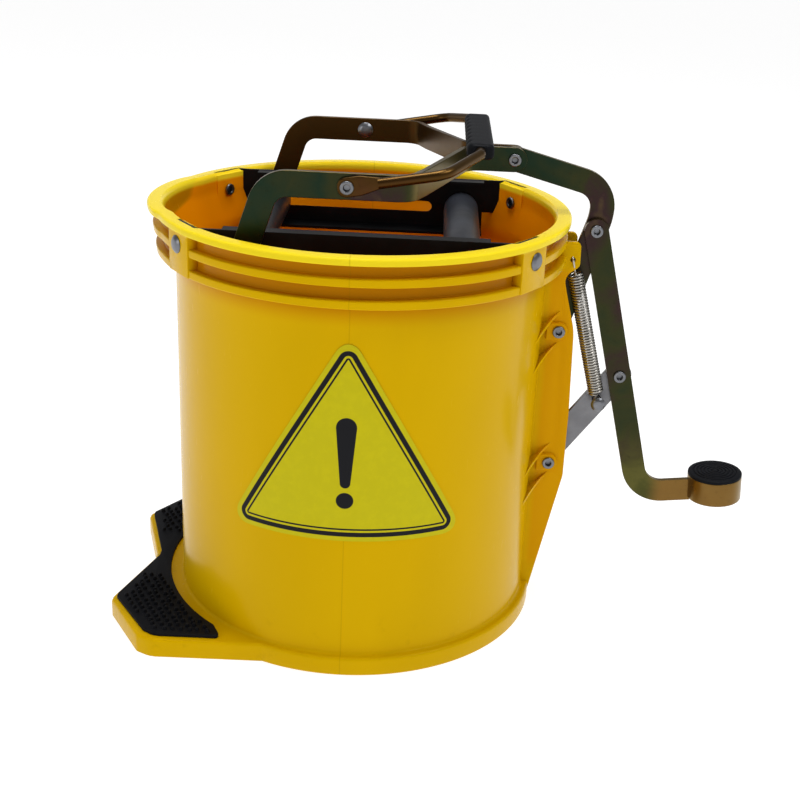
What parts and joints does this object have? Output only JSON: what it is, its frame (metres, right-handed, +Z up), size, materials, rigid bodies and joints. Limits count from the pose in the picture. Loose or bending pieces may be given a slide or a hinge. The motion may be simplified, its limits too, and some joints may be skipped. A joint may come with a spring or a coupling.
{
  "type": "mop bucket with wringer",
  "caption": "Round mop bucket with a foot-pedal linkage that draws one roller against another to squeeze a mop, plus a swinging carry handle and a foot platform.",
  "frame": {"origin": "on the bucket's axis, on the flat underside that rests on the floor", "axes": "+X towards the pedal, +Y to the rear, +Z up"},
  "size_m": [0.4781, 0.3, 0.3672],
  "materials": {
    "yellow_plastic": "glossy golden yellow moulded plastic",
    "black_steel": "satin black powder coat",
    "passivated_steel": "yellow-passivated zinc plate with olive and purple tints",
    "zinc_steel": "clear zinc plate",
    "bright_steel": "bright steel rivet",
    "black_rubber": "matt black rubber",
    "grey_roller": "satin dark grey plastic",
    "white_nylon": "natural nylon",
    "label_film": "printed yellow film"
  },
  "bodies": {
    "bucket_frame": {"bucket": "yellow_plastic", "tread_mat": "black_rubber", "warning_label": "label_film", "front_frame_plate": "black_steel", "rear_frame_plate": "black_steel", "frame_rivet_front_left": "bright_steel", "frame_rivet_front_right": "bright_steel", "frame_rivet_rear_left": "bright_steel", "frame_rivet_rear_right": "bright_steel", "fixed_roller_axle": "zinc_steel", "axle_clip_front": "zinc_steel", "axle_clip_rear": "zinc_steel", "crank_pivot_rivet": "bright_steel", "crank_spacer_front": "white_nylon", "crank_spacer_rear": "white_nylon", "strut_pivot_rivet": "bright_steel", "strut_spacer_front": "white_nylon", "strut_spacer_rear": "white_nylon", "return_spring": "zinc_steel"},
    "fixed_roller": {"fixed_roller": "grey_roller"},
    "roller_slide": {"sliding_axle": "zinc_steel", "slide_washer_front_inner": "white_nylon", "slide_washer_front_outer": "white_nylon", "slide_washer_rear_inner": "white_nylon", "slide_washer_rear_outer": "white_nylon"},
    "moving_roller": {"moving_roller": "grey_roller"},
    "crank": {"bell_crank": "passivated_steel", "crank_arm_rivet": "bright_steel", "crank_lever_rivet": "bright_steel"},
    "arms": {"front_arm": "passivated_steel", "rear_arm": "passivated_steel", "arm_spacer": "black_rubber", "arm_pin_front": "bright_steel", "arm_pin_rear": "bright_steel", "bail_rivet_front": "bright_steel", "bail_rivet_rear": "bright_steel"},
    "handle": {"bail_rod": "passivated_steel", "bail_grip": "black_rubber"},
    "lever": {"pedal_lever": "passivated_steel", "pedal_cup": "passivated_steel", "pedal_pad": "black_rubber", "lever_strut_rivet_front": "bright_steel"},
    "strut": {"strut": "zinc_steel", "spring_stud": "bright_steel", "lever_strut_rivet_rear": "bright_steel"}
  },
  "joints": [
    {"name": "crank_turn", "type": "hinge", "parent": "bucket_frame", "child": "crank", "pos_m": [0.1465, 0, 0.225], "axis": [0, 1, 0], "range_deg": [0, 60], "stiffness_Nm_per_rad": 0.9, "springref_deg": -34.38},
    {"name": "arms_turn", "type": "hinge", "parent": "crank", "child": "arms", "pos_m": [0.1061, 0, 0.3469], "axis": [0, 1, 0], "range_deg": [-52.1, 0]},
    {"name": "lever_turn", "type": "hinge", "parent": "crank", "child": "lever", "pos_m": [0.1687, 0, 0.2983], "axis": [0, 1, 0], "range_deg": [-51, 0]},
    {"name": "strut_turn", "type": "hinge", "parent": "bucket_frame", "child": "strut", "pos_m": [0.1475, 0, 0.1195], "axis": [0, 1, 0], "range_deg": [0, 48.1], "deforming": ["return_spring"]},
    {"name": "roller_travel", "type": "slide", "parent": "bucket_frame", "child": "roller_slide", "axis": [1, 0, 0], "range_m": [0, 0.1195]},
    {"name": "moving_roller_spin", "type": "hinge", "parent": "roller_slide", "child": "moving_roller", "pos_m": [-0.0765, 0, 0.2866], "axis": [0, 1, 0], "continuous": true},
    {"name": "fixed_roller_spin", "type": "hinge", "parent": "bucket_frame", "child": "fixed_roller", "pos_m": [0.072, 0, 0.2866], "axis": [0, 1, 0], "continuous": true},
    {"name": "handle_swing", "type": "hinge", "parent": "arms", "child": "handle", "pos_m": [-0.006, 0, 0.344], "axis": [0, 1, 0], "range_deg": [-160, 0]}
  ],
  "couplings": [
    {"joint": "arms_turn", "follows": "crank_turn", "ratio": -0.86686},
    {"joint": "lever_turn", "follows": "crank_turn", "ratio": -0.84677},
    {"joint": "strut_turn", "follows": "crank_turn", "ratio": 0.79978},
    {"joint": "roller_travel", "follows": "crank_turn", "m_per_rad": 0.11379}
  ]
}
